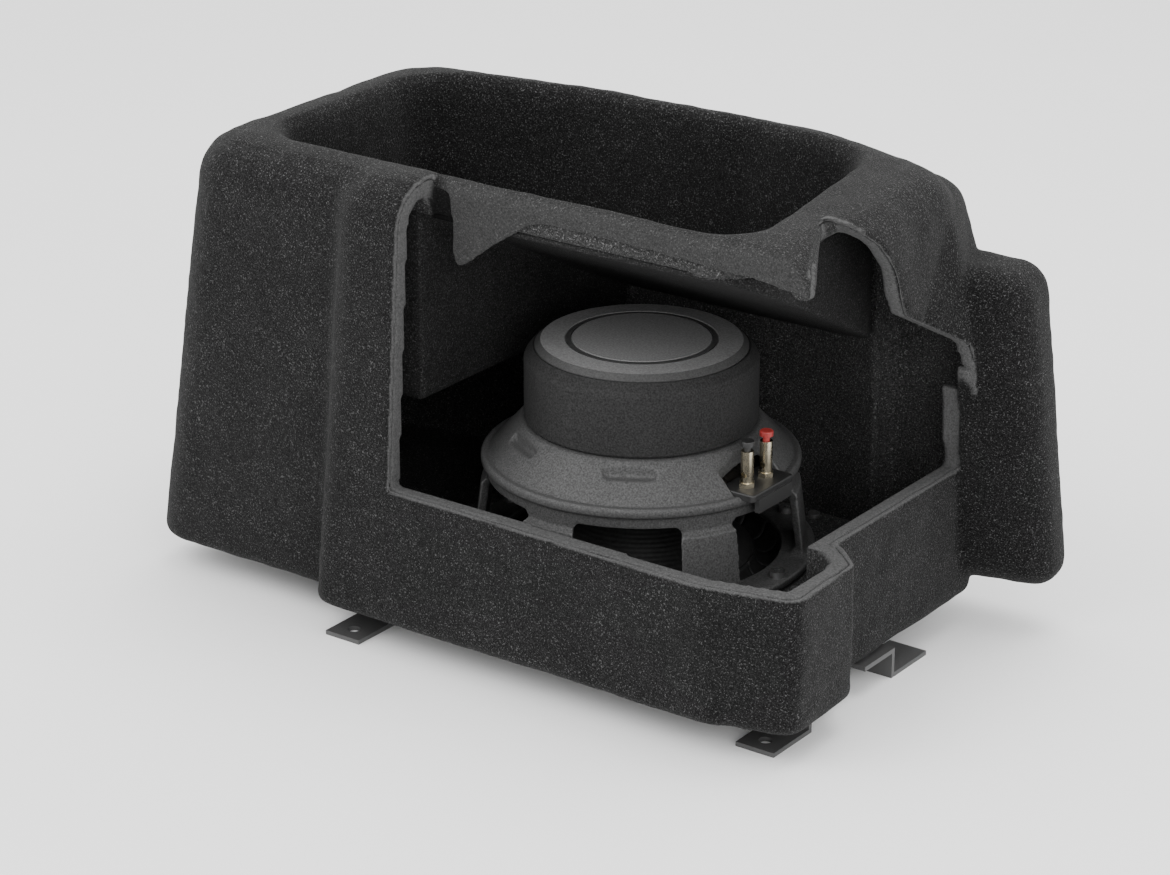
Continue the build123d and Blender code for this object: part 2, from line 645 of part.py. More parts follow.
cap_ring = turned([(44.6, 192.6), (47.4, 192.6), (47.4, 193.5), (44.6, 193.7)])
cap_ring.label = "cap_ring"
export_step(cap_ring.moved(TO_ORIGIN), "parts/cap_ring.step")

# terminal block with two push-cap binding posts
POST_TOP = 145.0
BLOCK_TOP = 121.5
post_centres = {"positive": (DRIVER[0] + 92, DRIVER[1] + 3), "negative": (DRIVER[0] + 92, DRIVER[1] - 18)}

with BuildPart() as terminal_block:
    with BuildSketch(Plane.XY.offset(BLOCK_BOTTOM)):
        with Locations(TERMINAL_AT):
            RectangleRounded(26, 46, 3)
    extrude(amount=BLOCK_TOP - BLOCK_BOTTOM)
    fillet(terminal_block.edges().group_by(Axis.Z)[-1], radius=1.2)
    with BuildSketch(Plane.XY.offset(109)):
        with Locations((TERMINAL_AT[0] + 12.4, TERMINAL_AT[1])):
            Rectangle(3.6, 36)
    extrude(amount=BLOCK_BOTTOM - 109 + 1)
terminal_block.part.label = "terminal_block"
export_step(terminal_block.part.moved(TO_ORIGIN), "parts/terminal_block.step")

for polarity, centre in post_centres.items():
    with BuildPart() as post:
        with BuildSketch(Plane.XY.offset(BLOCK_TOP)):
            with Locations(centre):
                RegularPolygon(5.2, 6)
        extrude(amount=3)
        with BuildSketch(Plane.XY.offset(BLOCK_TOP + 3)):
            with Locations(centre):
                Circle(4)
        extrude(amount=POST_TOP - BLOCK_TOP - 3)
        with BuildSketch(Plane.XY.offset(POST_TOP)):
            with Locations(centre):
                Circle(2.6)
        extrude(amount=-9, mode=Mode.SUBTRACT)
        with BuildSketch(Plane.XZ.offset(-centre[1] - 10)):
            with Locations((centre[0], BLOCK_TOP + 8.5)):
                Circle(1.9)
        extrude(amount=20, mode=Mode.SUBTRACT)
    post.part.label = f"terminal_post_{polarity}"
    export_step(post.part.moved(TO_ORIGIN), f"parts/terminal_post_{polarity}.step")

    with BuildPart() as button:
        with BuildSketch(Plane.XY.offset(POST_TOP + 3.3)):
            with Locations(centre):
                Circle(4.3)
        extrude(amount=3.4)
        fillet(button.edges().group_by(Axis.Z)[-1], radius=0.8)
        with BuildSketch(Plane.XY.offset(POST_TOP + 3.3)):
            with Locations(centre):
                Circle(2.2)
        extrude(amount=-7.5)
    button.part.label = f"terminal_button_{polarity}"
    export_step(button.part.moved(TO_ORIGIN), f"parts/terminal_button_{polarity}.step")


# ---- plate amplifier in the left end ----------------------------------------------------------
KNOBS = {"gain_knob": (-46, 26), "crossover_knob": (-14, 26), "boost_knob": (18, 26)}
SWITCHES = {"phase_switch": (50, 32), "input_switch": (50, 14)}
SWITCH_TRAVEL = 5.0
JACKS = [(-52, -6), (-34, -6)]
POWER_AT = (-32, -36)
FUSE_AT = [(14, -34), (26, -34)]
LED_AT = (18, -6)
edge_x, edge_y = AMP_WIDTH / 2 - 4, AMP_HEIGHT / 2 - 4
AMP_SCREWS = [(x, y) for x in (-edge_x, 0, edge_x) for y in (-edge_y, edge_y)] + [(-edge_x, 0), (edge_x, 0)]

with BuildPart() as amp_gasket:
    with BuildSketch(amp_plane):
        RectangleRounded(AMP_WIDTH, AMP_HEIGHT, 6)
        RectangleRounded(AMP_HOLE[0] - 1, AMP_HOLE[1] - 1, 5, mode=Mode.SUBTRACT)
        with Locations(*AMP_SCREWS):
            Circle(1.8, mode=Mode.SUBTRACT)
    extrude(amount=GASKET)
amp_gasket.part.label = "amp_gasket"
export_step(amp_gasket.part.moved(TO_ORIGIN), "parts/amp_gasket.step")

with BuildPart() as amp_plate:
    with BuildSketch(amp_plane.offset(GASKET)):
        RectangleRounded(AMP_WIDTH, AMP_HEIGHT, 6)
        with Locations(*KNOBS.values()):
            Circle(3.2, mode=Mode.SUBTRACT)
        with Locations(*SWITCHES.values()):
            Rectangle(SWITCH_TRAVEL + 6.4, 4.4, mode=Mode.SUBTRACT)
        with Locations(*JACKS):
            Circle(4.5, mode=Mode.SUBTRACT)
        with Locations(POWER_AT):
            Rectangle(50, 15, mode=Mode.SUBTRACT)
        with Locations(*FUSE_AT):
            Rectangle(6.4, 20.4, mode=Mode.SUBTRACT)
        with Locations(LED_AT):
            Circle(1.6, mode=Mode.SUBTRACT)
        with Locations(*AMP_SCREWS):
            Circle(1.8, mode=Mode.SUBTRACT)
    extrude(amount=AMP_PLATE)
    chamfer(amp_plate.faces().sort_by(SortBy.AREA)[-1].outer_wire().edges(), length=0.8)
amp_plate.part.label = "amp_plate"
export_step(amp_plate.part.moved(TO_ORIGIN), "parts/amp_plate.step")

with BuildPart() as amp_screws:
    with BuildSketch(amp_plane.offset(PLATE_FACE)):
        with Locations(*AMP_SCREWS):
            Circle(3.2)
    extrude(amount=1.8)
    with BuildSketch(amp_plane.offset(PLATE_FACE + 1.8)):
        with Locations(*AMP_SCREWS):
            RegularPolygon(1.6, 6)
    extrude(amount=-1.2, mode=Mode.SUBTRACT)
    with BuildSketch(amp_plane):
        with Locations(*AMP_SCREWS):
            Circle(1.7)
    extrude(amount=PLATE_FACE)
amp_screws.part.label = "amp_screws"
export_step(amp_screws.part.moved(TO_ORIGIN), "parts/amp_screws.step")

CHASSIS = (AMP_HOLE[0] - 4, AMP_HOLE[1] - 4)
with BuildPart() as amp_chassis:
    with BuildSketch(amp_plane.offset(GASKET - AMP_DEPTH)):
        RectangleRounded(CHASSIS[0], CHASSIS[1], 4)
    extrude(amount=AMP_DEPTH)
    with BuildSketch(amp_plane.offset(GASKET - AMP_DEPTH + 2)):
        RectangleRounded(CHASSIS[0] - 4, CHASSIS[1] - 4, 3)
    extrude(amount=AMP_DEPTH, mode=Mode.SUBTRACT)
amp_chassis.part.label = "amp_chassis"
export_step(amp_chassis.part.moved(TO_ORIGIN), "parts/amp_chassis.step")

board_back = GASKET - AMP_DEPTH + 6
with BuildPart() as amp_board:
    with BuildSketch(amp_plane.offset(board_back)):
        Rectangle(CHASSIS[0] - 8, CHASSIS[1] - 8)
    extrude(amount=1.6)
    with BuildSketch(amp_plane.offset(GASKET - AMP_DEPTH + 2)):
        with GridLocations(CHASSIS[0] - 20, CHASSIS[1] - 20, 2, 2):
            Circle(3)
    extrude(amount=4)
amp_board.part.label = "amp_board"
export_step(amp_board.part.moved(TO_ORIGIN), "parts/amp_board.step")

with BuildPart() as amp_capacitors:
    with BuildSketch(amp_plane.offset(board_back + 1.6)):
        with Locations((-44, 22), (-22, 22), (-44, -2)):
            Circle(8)
    extrude(amount=25)
amp_capacitors.part.label = "amp_capacitors"
export_step(amp_capacitors.part.moved(TO_ORIGIN), "parts/amp_capacitors.step")

with BuildPart() as amp_transformer:
    with BuildSketch(amp_plane.offset(board_back + 1.6)):
        with Locations((8, 18)):
            Circle(16)
            Circle(7, mode=Mode.SUBTRACT)
    extrude(amount=14)
amp_transformer.part.label = "amp_transformer"
export_step(amp_transformer.part.moved(TO_ORIGIN), "parts/amp_transformer.step")

with BuildPart() as amp_heatsink:
    with BuildSketch(amp_plane.offset(board_back + 1.6)):
        with Locations((40, 0)):
            Rectangle(14, CHASSIS[1] - 20)
    extrude(amount=4)
    with BuildSketch(amp_plane.offset(board_back + 5.6)):
        with Locations((40, 0)):
            with GridLocations(4, 1, 4, 1):
                Rectangle(1.4, CHASSIS[1] - 20)
    extrude(amount=16)
amp_heatsink.part.label = "amp_heatsink"
export_step(amp_heatsink.part.moved(TO_ORIGIN), "parts/amp_heatsink.step")

with BuildPart() as power_terminal:
    with BuildSketch(amp_plane.offset(-8)):
        with Locations(POWER_AT):
            Rectangle(49, 14)
    extrude(amount=8 + PLATE_FACE + 3)
    with BuildSketch(amp_plane.offset(PLATE_FACE + 3)):
        with Locations(POWER_AT):
            with GridLocations(12, 1, 4, 1):
                Circle(3.4)
    extrude(amount=-9, mode=Mode.SUBTRACT)
power_terminal.part.label = "power_terminal"
export_step(power_terminal.part.moved(TO_ORIGIN), "parts/power_terminal.step")

with BuildPart() as power_screws:
    with BuildSketch(amp_plane.offset(PLATE_FACE + 1.6)):
        with Locations(POWER_AT):
            with GridLocations(12, 1, 4, 1):
                Circle(3.2)
                Rectangle(5, 0.9, mode=Mode.SUBTRACT)
    extrude(amount=-4)
power_screws.part.label = "power_screws"
export_step(power_screws.part.moved(TO_ORIGIN), "parts/power_screws.step")

with BuildPart() as rca_sockets:
    with BuildSketch(amp_plane.offset(-10)):
        with Locations(*JACKS):
            Circle(JACK_RADIUS - 0.3)
    extrude(amount=10 + PLATE_FACE)
    with BuildSketch(amp_plane.offset(PLATE_FACE)):
        with Locations(*JACKS):
            Circle(JACK_RADIUS)
    extrude(amount=6)
    with BuildSketch(amp_plane.offset(PLATE_FACE + 6)):
        with Locations(*JACKS):
            Circle(1.7)
    extrude(amount=-10, mode=Mode.SUBTRACT)
rca_sockets.part.label = "rca_sockets"
export_step(rca_sockets.part.moved(TO_ORIGIN), "parts/rca_sockets.step")

with BuildPart() as fuse_holder:
    with BuildSketch(amp_plane.offset(-10)):
        with Locations(*FUSE_AT):
            Rectangle(6, 20)
    extrude(amount=10 + PLATE_FACE + 0.5)
fuse_holder.part.label = "fuse_holder"
export_step(fuse_holder.part.moved(TO_ORIGIN), "parts/fuse_holder.step")

with BuildPart() as fuses:
    with BuildSketch(amp_plane.offset(PLATE_FACE + 0.5)):
        with Locations(*FUSE_AT):
            Rectangle(4, 17)
    extrude(amount=3)
fuses.part.label = "fuses"
export_step(fuses.part.moved(TO_ORIGIN), "parts/fuses.step")

with BuildPart() as power_led:
    with BuildSketch(amp_plane.offset(-4)):
        with Locations(LED_AT):
            Circle(1.5)
    extrude(amount=4 + PLATE_FACE + 1.5)
power_led.part.label = "power_led"
export_step(power_led.part.moved(TO_ORIGIN), "parts/power_led.step")

for knob_name, centre in KNOBS.items():
    with BuildPart() as knob:
        with BuildSketch(amp_plane.offset(PLATE_FACE + 0.5)):
            with Locations(centre):
                Circle(KNOB_RADIUS)
                with PolarLocations(KNOB_RADIUS + 0.4, 16):
                    Circle(0.9, mode=Mode.SUBTRACT)
        extrude(amount=9)
        with BuildSketch(amp_plane.offset(PLATE_FACE + 9.5)):
            with Locations((centre[0], centre[1] + 3.6)):
                Rectangle(1.2, 4.4)
        extrude(amount=-0.8, mode=Mode.SUBTRACT)
        with BuildSketch(amp_plane.offset(-8)):
            with Locations(centre):
                Circle(2.8)
        extrude(amount=8 + PLATE_FACE + 1)
    knob.part.label = knob_name
    export_step(knob.part.moved(TO_ORIGIN), f"parts/{knob_name}.step")

for switch_name, centre in SWITCHES.items():
    with BuildPart() as switch:
        with BuildSketch(amp_plane.offset(-4)):
            with Locations((centre[0] - SWITCH_TRAVEL / 2, centre[1])):
                Rectangle(5.6, 3.8)
        extrude(amount=4 + PLATE_FACE + 3.5)
    switch.part.label = switch_name
    export_step(switch.part.moved(TO_ORIGIN), f"parts/{switch_name}.step")
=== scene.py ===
import bmesh
import bpy
import math
import numpy as np
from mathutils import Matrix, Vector


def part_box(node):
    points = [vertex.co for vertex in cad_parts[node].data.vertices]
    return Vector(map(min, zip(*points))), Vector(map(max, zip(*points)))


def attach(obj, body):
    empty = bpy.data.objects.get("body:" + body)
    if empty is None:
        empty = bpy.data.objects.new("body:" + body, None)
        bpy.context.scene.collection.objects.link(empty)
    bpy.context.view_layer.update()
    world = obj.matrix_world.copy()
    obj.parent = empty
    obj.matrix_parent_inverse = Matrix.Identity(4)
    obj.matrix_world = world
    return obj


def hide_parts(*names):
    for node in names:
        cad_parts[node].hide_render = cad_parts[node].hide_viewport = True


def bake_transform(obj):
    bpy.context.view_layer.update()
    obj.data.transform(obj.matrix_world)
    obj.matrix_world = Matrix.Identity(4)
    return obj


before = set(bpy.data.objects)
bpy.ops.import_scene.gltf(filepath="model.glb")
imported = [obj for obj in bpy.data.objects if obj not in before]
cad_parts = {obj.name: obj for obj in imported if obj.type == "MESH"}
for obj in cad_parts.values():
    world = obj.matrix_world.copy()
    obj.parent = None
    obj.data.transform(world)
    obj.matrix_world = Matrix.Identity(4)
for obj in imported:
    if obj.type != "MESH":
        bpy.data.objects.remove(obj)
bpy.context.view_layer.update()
scene = bpy.context.scene

# ---- places read from the frame --------------------------------------------------------------
flange_low, flange_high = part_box("driver_basket")
DRIVER = Vector(((flange_low.x + flange_high.x) / 2, (flange_low.y + flange_high.y) / 2, flange_low.z))
CARPET_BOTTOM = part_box("carpet_cover")[0].z

# The cutaway window's outline in metres, as in the CAD model: its left edge, its sill, (y, z) of the right
# wall's edge and (x, y) of the near rim's end. SHIFT moves the drawing's x to the frame's x.
SHIFT = 0.0152
WINDOW_LEFT = -0.068 + SHIFT
WINDOW_SILL = 0.110
WINDOW_SIDE = [(0.100, 0.110), (0.096, 0.168), (0.088, 0.198), (0.057, 0.217), (0.034, 0.229),
               (0.025, 0.244), (0.017, 0.263), (-0.003, 0.285), (-0.016, 0.296), (-0.025, 0.304)]
WINDOW_RIM = [(0.208 + SHIFT, -0.0965), (0.172 + SHIFT, -0.030), (0.196 + SHIFT, -0.014),
              (0.300 + SHIFT, -0.008)]
SIDE_WALL = (0.172 + SHIFT, 0.212 + SHIFT)   # the x range that the right wall's cut edge keeps to
WALL_SPLIT = 0.164      # below this height the right wall is one plane, above it is the rounded shoulder
HEM_FACE = -0.0965      # y of the near rim's hanging face
GAP_FACE = -0.093       # y of the tub wall that shows through the narrow gap behind the arch
GAP_END = -0.0500 + SHIFT

# The wedge of felt over the grazed part of the bulge: for two heights, the wall's outer x, the y of the
# bulge's corner and the slope of its front face.
WEDGE = ((0.1070, 0.2014, 0.0948, 0.274), (0.1800, 0.1980, 0.0917, 0.295))
WEDGE_CORNER = 0.204    # x of the bulge's corner
WEDGE_END = 0.230       # x where the face passes behind the window's edge


# ---- camera, floor and lights ----------------------------------------------------------------
CAMERA_AZIMUTH = math.radians(36.0)
CAMERA_PITCH = math.radians(21.8)
CAMERA_AT = Vector((1.2097, -1.6718, 0.9374))
LENS = 106.4            # mm, on a 36 mm sensor
WORLD_STRENGTH = 1.6
LIGHTS = (              # name, place, target, (width, height), watts
    ("key", (-0.8, -1.5, 2.1), (0.0, 0.0, 0.15), (1.6, 1.6), 30),
    ("top", (0.2, 0.5, 2.2), (0.0, 0.0, 0.2), (1.8, 1.2), 30),
    ("fill", (1.9, -1.5, 1.1), (0.05, 0.0, 0.15), (1.2, 1.2), 26),
)
FLOOR_REACH = 6.0


def make_camera():
    """The camera looks along its azimuth, down by its pitch."""
    data = bpy.data.cameras.new("camera")
    data.lens = LENS
    data.sensor_width = 36.0
    camera = bpy.data.objects.new("camera", data)
    scene.collection.objects.link(camera)
    look = Vector((-math.sin(CAMERA_AZIMUTH) * math.cos(CAMERA_PITCH),
                   math.cos(CAMERA_AZIMUTH) * math.cos(CAMERA_PITCH), -math.sin(CAMERA_PITCH)))
    camera.location = CAMERA_AT
    camera.rotation_euler = look.to_track_quat("-Z", "Y").to_euler()
    scene.camera = camera


def area_light(name, place, target, size, power):
    """A soft rectangular light that faces its target."""
    data = bpy.data.lights.new(name, "AREA")
    data.shape = "RECTANGLE"
    data.size, data.size_y = size
    data.energy = power
    lamp = bpy.data.objects.new(name, data)
    scene.collection.objects.link(lamp)
    lamp.location = place
    lamp.rotation_euler = (Vector(target) - Vector(place)).to_track_quat("-Z", "Y").to_euler()


def make_studio():
    """A white floor, a bright even world and three large soft lights."""
    world = bpy.data.worlds.new("studio")
    scene.world = world
    world.use_nodes = True
    background = world.node_tree.nodes["Background"]
    background.inputs["Color"].default_value = (1, 1, 1, 1)
    background.inputs["Strength"].default_value = WORLD_STRENGTH
    for light in LIGHTS:
        area_light(*light)
    mesh = bpy.data.meshes.new("floor")
    corners = [(x * FLOOR_REACH, y * FLOOR_REACH, 0) for x, y in ((-1, -1), (1, -1), (1, 1), (-1, 1))]
    mesh.from_pydata(corners, [], [(0, 1, 2, 3)])
    floor = bpy.data.objects.new("floor", mesh)
    scene.collection.objects.link(floor)
    floor.data.materials.append(floor_material())


# ---- materials ----------------------------------------------------------------------------------
def new_material(name):
    """A material with its node tree, its principled shader and a short way to add and link nodes."""
    material = bpy.data.materials.new(name)
    material.use_nodes = True
    tree = material.node_tree
    shader = tree.nodes["Principled BSDF"]

    def node(kind, inputs=None, **settings):
        made = tree.nodes.new(kind)
        for key, value in settings.items():
            setattr(made, key, value)
        for key, value in (inputs or {}).items():
            if isinstance(value, bpy.types.NodeSocket):
                tree.links.new(value, made.inputs[key])
            else:
                made.inputs[key].default_value = value
        return made

    return material, tree, shader, node


def rgb(value, tint=(1, 1, 1)):
    """A grey of this value, or a tint of it."""
    return (value * tint[0], value * tint[1], value * tint[2], 1)


def colour_ramp(node, value, stops):
    """A ramp from value to colour, with stops of (position, colour)."""
    ramp = node("ShaderNodeValToRGB", {"Fac": value})
    elements = ramp.color_ramp.elements
    while len(elements) < len(stops):
        elements.new(0.5)
    for element, (position, colour) in zip(elements, stops):
        element.position = position
        element.color = colour
    return ramp.outputs["Color"]


def floor_material():
    """Near-white matt floor."""
    material, tree, shader, node = new_material("floor_white")
    coords = node("ShaderNodeTexCoord").outputs["Object"]
    grain = node("ShaderNodeTexNoise", {"Vector": coords, "Scale": 3.0, "Detail": 2.0})
    colour = colour_ramp(node, grain.outputs["Fac"], [(0.3, rgb(0.93)), (0.7, rgb(0.95))])
    tree.links.new(colour, shader.inputs["Base Color"])
    shader.inputs["Roughness"].default_value = 0.7
    return material


def felt(tree, node, coords, dark, middle, light, fleck, fleck_from):
    """Needle felt: fibre grain, sparse light flecks and slow uneven shading, as a colour and a height."""
    warp = node("ShaderNodeTexNoise", {"Vector": coords, "Scale": 300.0, "Detail": 2.0})
    shift = node("ShaderNodeVectorMath", {0: warp.outputs["Color"]}, operation="SCALE")
    shift.inputs["Scale"].default_value = 0.0016
    bent = node("ShaderNodeVectorMath", {0: coords, 1: shift.outputs[0]}, operation="ADD")
    fibre = node("ShaderNodeTexNoise", {"Vector": bent.outputs[0], "Scale": 780.0, "Detail": 3.0,
                                        "Roughness": 0.8})
    specks = node("ShaderNodeTexNoise", {"Vector": coords, "Scale": 1050.0, "Detail": 1.0, "Roughness": 0.4})
    patches = node("ShaderNodeTexNoise", {"Vector": coords, "Scale": 19.0, "Detail": 4.0, "Roughness": 0.6})
    pile = colour_ramp(node, fibre.outputs["Fac"],
                       [(0.36, rgb(dark)), (0.50, rgb(middle)), (0.68, rgb(light))])
    mask = colour_ramp(node, specks.outputs["Fac"], [(fleck_from, rgb(0)), (fleck_from + 0.12, rgb(1))])
    flecked = node("ShaderNodeMix", data_type="RGBA")
    fleck_colour = colour_ramp(node, warp.outputs["Fac"], [(0.3, rgb(fleck * 0.6)), (0.7, rgb(fleck))])
    tree.links.new(mask, flecked.inputs["Factor"])
    link_mix(tree, flecked, pile, fleck_colour)
    shade = colour_ramp(node, patches.outputs["Fac"], [(0.32, rgb(0.72)), (0.68, rgb(1.0))])
    shaded = node("ShaderNodeMix", data_type="RGBA", blend_type="MULTIPLY")
    shaded.inputs["Factor"].default_value = 1.0
    link_mix(tree, shaded, flecked.outputs["Result"], shade)
    height = node("ShaderNodeMath", {0: fibre.outputs["Fac"], 1: specks.outputs["Fac"]}, operation="ADD")
    return shaded.outputs["Result"], height.outputs[0], fibre.outputs["Fac"]


def carpet_material():
    """Charcoal automotive carpet; where the cut attribute is 1 it is the smooth pressed edge of a cut."""
    material, tree, shader, node = new_material("needle_felt_carpet")
    coords = node("ShaderNodeTexCoord").outputs["Object"]
    colour, height, fibre = felt(tree, node, coords, 0.0035, 0.009, 0.031, 0.115, 0.605)
    facing = node("ShaderNodeNewGeometry").outputs["Normal"]
    upward = node("ShaderNodeSeparateXYZ", {"Vector": facing}).outputs["Z"]
    lift = colour_ramp(node, upward, [(0.25, rgb(0.75)), (0.95, rgb(1.0))])
    lifted = node("ShaderNodeMix", data_type="RGBA", blend_type="MULTIPLY")
    lifted.inputs["Factor"].default_value = 1.0
    link_mix(tree, lifted, colour, lift)
    edge_grain = colour_ramp(node, fibre, [(0.35, rgb(0.042)), (0.65, rgb(0.085))])
    cut = node("ShaderNodeAttribute", attribute_name="cut").outputs["Fac"]
    final = node("ShaderNodeMix", data_type="RGBA")
    tree.links.new(cut, final.inputs["Factor"])
    link_mix(tree, final, lifted.outputs["Result"], edge_grain)
    tree.links.new(final.outputs["Result"], shader.inputs["Base Color"])
    shader.inputs["Roughness"].default_value = 0.95
    shader.inputs["Specular IOR Level"].default_value = 0.08
    shader.inputs["Sheen Weight"].default_value = 0.05
    shader.inputs["Sheen Roughness"].default_value = 0.5
    bump = node("ShaderNodeBump", {"Height": height, "Strength": 0.7, "Distance": 0.0009})
    tree.links.new(bump.outputs["Normal"], shader.inputs["Normal"])
    return material


def driver_radius(node, coords):
    """Each point's distance from the woofer's axis."""
    centred = node("ShaderNodeVectorMath", {0: coords, 1: tuple(DRIVER)}, operation="SUBTRACT")
    flat = node("ShaderNodeVectorMath", {0: centred.outputs[0], 1: (1, 1, 0)}, operation="MULTIPLY")
    return node("ShaderNodeVectorMath", {0: flat.outputs[0]}, operation="LENGTH").outputs["Value"]


def link_mix(tree, mix, first, second):
    """Links colours to a colour mix node's A and B."""
    tree.links.new(first, [s for s in mix.inputs if s.name == "A" and s.type == "RGBA"][0])
    tree.links.new(second, [s for s in mix.inputs if s.name == "B" and s.type == "RGBA"][0])


def grained_material(name, low, high, roughness, scale=300.0, metallic=0.0, bump=0.3, depth=0.0003,
                     tint=(1, 1, 1), wear=None, specular=0.5):
    """A fine-grained surface: two tones over a noise, uneven gloss, a bump, and optional lighter wear."""
    material, tree, shader, node = new_material(name)
    coords = node("ShaderNodeTexCoord").outputs["Object"]
    fine = node("ShaderNodeTexNoise", {"Vector": coords, "Scale": scale, "Detail": 4.0, "Roughness": 0.65})
    slow = node("ShaderNodeTexNoise", {"Vector": coords, "Scale": 30.0, "Detail": 3.0})
    colour = colour_ramp(node, fine.outputs["Fac"], [(0.35, rgb(low, tint)), (0.68, rgb(high, tint))])
    if wear:
        pointiness = node("ShaderNodeNewGeometry").outputs["Pointiness"]
        mask = colour_ramp(node, pointiness, [(0.52, rgb(0)), (0.58, rgb(1))])
        worn = node("ShaderNodeMix", data_type="RGBA")
        tree.links.new(mask, worn.inputs["Factor"])
        wear_colour = node("ShaderNodeRGB")
        wear_colour.outputs[0].default_value = rgb(wear, tint)
        link_mix(tree, worn, colour, wear_colour.outputs[0])
        colour = worn.outputs["Result"]
    tree.links.new(colour, shader.inputs["Base Color"])
    gloss = colour_ramp(node, slow.outputs["Fac"],
                        [(0.3, rgb(roughness - 0.06)), (0.7, rgb(roughness + 0.08))])
    tree.links.new(gloss, shader.inputs["Roughness"])
    shader.inputs["Metallic"].default_value = metallic
    shader.inputs["Specular IOR Level"].default_value = specular
    relief = node("ShaderNodeBump", {"Height": fine.outputs["Fac"], "Strength": bump, "Distance": depth})
    tree.links.new(relief.outputs["Normal"], shader.inputs["Normal"])
    return material


def shell_material(name, level):
    """The moulded shell, lined inside with dark felt; the window's cut edge is pressed and lighter."""
    material, tree, shader, node = new_material(name)
    coords = node("ShaderNodeTexCoord").outputs["Object"]
    colour, height, fibre = felt(tree, node, coords, 0.010 * level, 0.026 * level, 0.062 * level,
                                 0.15 * level, 0.60)
    edge = colour_ramp(node, fibre, [(0.35, rgb(0.042)), (0.65, rgb(0.085))])
    cut = node("ShaderNodeAttribute", attribute_name="cut").outputs["Fac"]
    bordered = node("ShaderNodeMix", data_type="RGBA")
    tree.links.new(cut, bordered.inputs["Factor"])
    link_mix(tree, bordered, colour, edge)
    shadow = node("ShaderNodeAttribute", attribute_name="shadow").outputs["Fac"]
    depth = colour_ramp(node, shadow, [(0.0, rgb(1.0)), (1.0, rgb(0.12))])
    final = node("ShaderNodeMix", data_type="RGBA", blend_type="MULTIPLY")
    final.inputs["Factor"].default_value = 1.0
    link_mix(tree, final, bordered.outputs["Result"], depth)
    tree.links.new(final.outputs["Result"], shader.inputs["Base Color"])
    shader.inputs["Roughness"].default_value = 0.9
    shader.inputs["Specular IOR Level"].default_value = 0.12
    bump = node("ShaderNodeBump", {"Height": height, "Strength": 0.6, "Distance": 0.0008})
    tree.links.new(bump.outputs["Normal"], shader.inputs["Normal"])
    return material


def board_material():
    """Fibreboard faced with the same dark felt."""
    material, tree, shader, node = new_material("board_felt")
    coords = node("ShaderNodeTexCoord").outputs["Object"]
    colour, height, _ = felt(tree, node, coords, 0.012, 0.030, 0.070, 0.16, 0.60)
    tree.links.new(colour, shader.inputs["Base Color"])
    shader.inputs["Roughness"].default_value = 0.92
    shader.inputs["Specular IOR Level"].default_value = 0.12
    bump = node("ShaderNodeBump", {"Height": height, "Strength": 0.6, "Distance": 0.0008})
    tree.links.new(bump.outputs["Normal"], shader.inputs["Normal"])
    return material


CAP_FACE_RADIUS = 0.0635   # beyond it the cap is the dark bevel


def cap_material():
    """Grey fine-cast cap whose outer bevel is darker rubber."""
    material, tree, shader, node = new_material("cap_grey")
    coords = node("ShaderNodeTexCoord").outputs["Object"]
    radius = driver_radius(node, coords)
    grain = node("ShaderNodeTexNoise", {"Vector": coords, "Scale": 800.0, "Detail": 4.0, "Roughness": 0.75})
    light = colour_ramp(node, grain.outputs["Fac"], [(0.32, rgb(0.105)), (0.70, rgb(0.235))])
    dark = colour_ramp(node, grain.outputs["Fac"], [(0.32, rgb(0.028)), (0.70, rgb(0.062))])
    outer = node("ShaderNodeMath", {0: radius, 1: CAP_FACE_RADIUS}, operation="GREATER_THAN")
    final = node("ShaderNodeMix", data_type="RGBA")
    tree.links.new(outer.outputs[0], final.inputs["Factor"])
    link_mix(tree, final, light, dark)
    tree.links.new(final.outputs["Result"], shader.inputs["Base Color"])
    shader.inputs["Roughness"].default_value = 0.6
    shader.inputs["Specular IOR Level"].default_value = 0.25
    bump = node("ShaderNodeBump", {"Height": grain.outputs["Fac"], "Strength": 0.3, "Distance": 0.0003})
    tree.links.new(bump.outputs["Normal"], shader.inputs["Normal"])
    return material


def cone_material():
    """Black pressed cone with faint rings round the woofer's axis."""
    material, tree, shader, node = new_material("cone_black")
    coords = node("ShaderNodeTexCoord").outputs["Object"]
    radius = driver_radius(node, coords)
    rings = node("ShaderNodeMath", {0: radius, 1: 2600.0}, operation="MULTIPLY")
    wave = node("ShaderNodeMath", {0: rings.outputs[0]}, operation="SINE")
    noise = node("ShaderNodeTexNoise", {"Vector": coords, "Scale": 420.0, "Detail": 4.0})
    colour = colour_ramp(node, noise.outputs["Fac"], [(0.35, rgb(0.010)), (0.7, rgb(0.022))])
    tree.links.new(colour, shader.inputs["Base Color"])
    shader.inputs["Roughness"].default_value = 0.5
    mixed = node("ShaderNodeMath", {0: wave.outputs[0], 1: noise.outputs["Fac"]}, operation="ADD")
    bump = node("ShaderNodeBump", {"Height": mixed.outputs[0], "Strength": 0.25, "Distance": 0.0002})
    tree.links.new(bump.outputs["Normal"], shader.inputs["Normal"])
    return material


